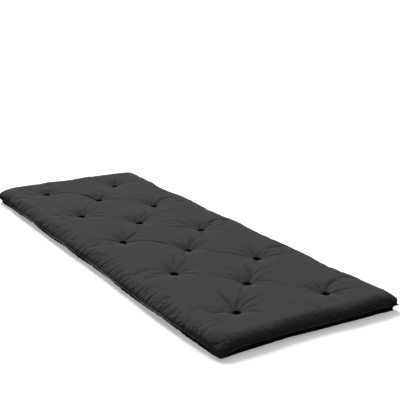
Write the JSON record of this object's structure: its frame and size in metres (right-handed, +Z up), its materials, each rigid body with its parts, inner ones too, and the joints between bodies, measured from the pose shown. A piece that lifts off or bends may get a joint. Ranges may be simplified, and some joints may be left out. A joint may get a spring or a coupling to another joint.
{
  "type": "futon mattress",
  "caption": "Thin tufted roll-out futon mattress with layered batting inside a two-panel fabric cover, sewn round the edge, that folds in three.",
  "frame": {"origin": "on the floor, under the centre of the mattress lying open and flat", "axes": "+X along the length towards the foot end, +Y across the width towards the right-hand side, +Z up out of the lying surface"},
  "size_m": [1.9, 0.7, 0.064],
  "materials": {
    "cover_fabric": "matte anthracite cotton-blend twill",
    "seam_edge": "matte sewn fabric edge with tone-in-tone thread",
    "batting": "matte needled cotton-blend felt",
    "tie_twine": "matte black waxed twine"
  },
  "bodies": {
    "middle_third": {"top_panel_middle": "cover_fabric", "bottom_panel_middle": "cover_fabric", "batting_bottom_middle": "batting", "batting_core_middle": "batting", "batting_top_middle": "batting", "edge_seam_left": "seam_edge", "edge_seam_right": "seam_edge", "tuft_tie_06": "tie_twine", "tuft_tie_07": "tie_twine", "tuft_tie_08": "tie_twine", "tuft_tie_09": "tie_twine"},
    "head_third": {"top_panel_head": "cover_fabric", "bottom_panel_head": "cover_fabric", "batting_bottom_head": "batting", "batting_core_head": "batting", "batting_top_head": "batting", "edge_seam_head": "seam_edge", "tuft_tie_01": "tie_twine", "tuft_tie_02": "tie_twine", "tuft_tie_03": "tie_twine", "tuft_tie_04": "tie_twine", "tuft_tie_05": "tie_twine"},
    "foot_third": {"top_panel_foot": "cover_fabric", "bottom_panel_foot": "cover_fabric", "batting_bottom_foot": "batting", "batting_core_foot": "batting", "batting_top_foot": "batting", "edge_seam_foot": "seam_edge", "tuft_tie_10": "tie_twine", "tuft_tie_11": "tie_twine", "tuft_tie_12": "tie_twine", "tuft_tie_13": "tie_twine", "tuft_tie_14": "tie_twine"}
  },
  "joints": [
    {"name": "foot_fold", "type": "hinge", "parent": "middle_third", "child": "foot_third", "pos_m": [0.31667, 0, 0.065], "axis": [0, -1, 0], "range_deg": [0, 180]},
    {"name": "head_fold", "type": "hinge", "parent": "middle_third", "child": "head_third", "pos_m": [-0.31667, 0, 0.098], "axis": [0, 1, 0], "range_deg": [0, 180]}
  ]
}
